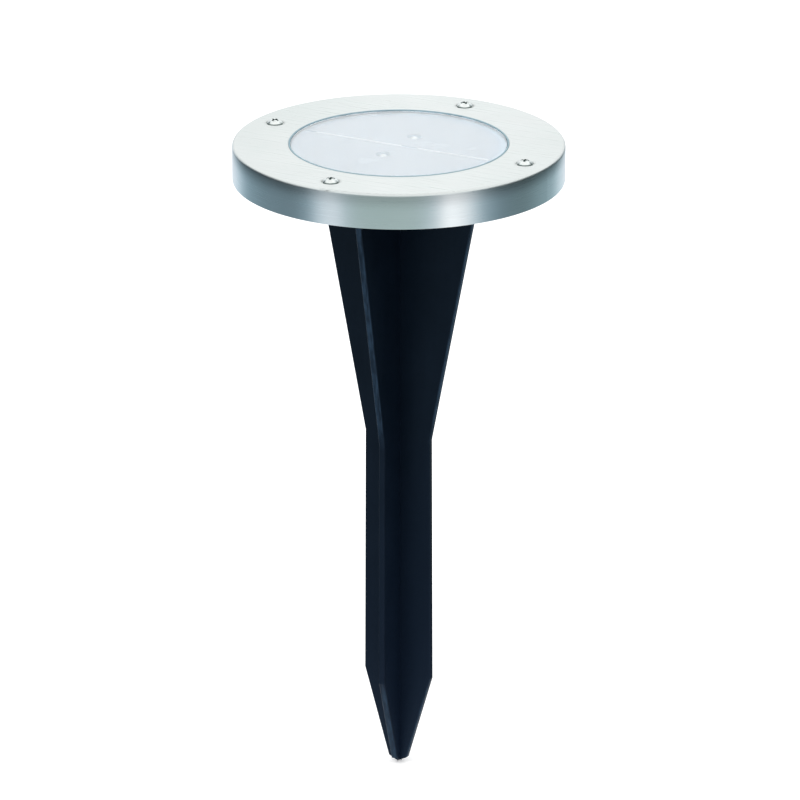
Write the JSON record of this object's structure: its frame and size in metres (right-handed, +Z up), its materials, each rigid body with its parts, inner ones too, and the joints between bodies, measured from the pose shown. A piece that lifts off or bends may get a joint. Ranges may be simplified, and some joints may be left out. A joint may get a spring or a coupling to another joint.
{
  "type": "solar garden light",
  "caption": "Round in-ground solar garden light: brushed steel ring round a clear window over a solar panel, on a four-finned black ground spike.",
  "frame": {"origin": "the lowest point of the ground spike's tip, on the spike's axis", "axes": "+Z up along the spike to the round head; +X along the ribbon line between the two solar cells, through two opposite bezel screws; +Y through the two LEDs"},
  "size_m": [0.12, 0.12, 0.2413],
  "materials": {
    "stainless": "brushed satin",
    "screw_steel": "polished",
    "insert_brass": "machined",
    "window_clear": "clear, polished",
    "gasket_rubber": "matte",
    "housing_plastic": "fine moulded texture",
    "seal_foam": "closed-cell foam",
    "panel_laminate": "laminated, glossy",
    "solar_silicon": "anti-reflection coated",
    "tinned_ribbon": "satin",
    "led_epoxy": "clear epoxy",
    "lead_metal": "tinned",
    "circuit_laminate": "solder mask",
    "chip_epoxy": "moulded epoxy",
    "ferrite": "sintered",
    "copper_winding": "enamelled wire",
    "cell_steel": "nickel plated",
    "cell_sleeve": "shrink sleeve",
    "contact_nickel": "nickel plated",
    "switch_plastic": "moulded",
    "knob_plastic": "moulded",
    "wire_red": "PVC insulation",
    "wire_black": "PVC insulation",
    "wire_yellow": "PVC insulation",
    "spike_plastic": "fine moulded texture"
  },
  "bodies": {
    "spike": {"spike": "spike_plastic"},
    "head": {"bezel_ring": "stainless", "bezel_screws": "screw_steel", "threaded_inserts": "insert_brass", "window_lens": "window_clear", "window_gasket": "gasket_rubber", "housing": "housing_plastic", "rim_seal": "seal_foam", "solar_board": "panel_laminate", "cell_front": "solar_silicon", "cell_rear": "solar_silicon", "bus_ribbon_long": "tinned_ribbon", "bus_ribbon_short": "tinned_ribbon", "led_front": "led_epoxy", "led_rear": "led_epoxy", "led_leads": "lead_metal", "led_board": "circuit_laminate", "control_board": "circuit_laminate", "controller_chip": "chip_epoxy", "inductor_core": "ferrite", "inductor_coil": "copper_winding", "board_pins": "lead_metal", "board_screws": "screw_steel", "battery_can": "cell_steel", "battery_sleeve": "cell_sleeve", "contact_plus": "contact_nickel", "contact_minus": "contact_nickel", "contact_spring": "contact_nickel", "battery_door": "housing_plastic", "door_screw": "screw_steel", "switch_body": "switch_plastic", "battery_wire_red": "wire_red", "battery_wire_black": "wire_black", "panel_wire_red": "wire_red", "panel_wire_black": "wire_black", "switch_wire_first": "wire_yellow", "switch_wire_second": "wire_yellow"},
    "switch_knob": {"switch_knob": "knob_plastic"}
  },
  "joints": [
    {"name": "head_pull_off", "type": "slide", "parent": "spike", "child": "head", "axis": [0, 0, 1], "range_m": [0, 0.03]},
    {"name": "power_switch", "type": "slide", "parent": "head", "child": "switch_knob", "axis": [0.7071, 0.7071, 0], "range_m": [0, 0.003]}
  ]
}
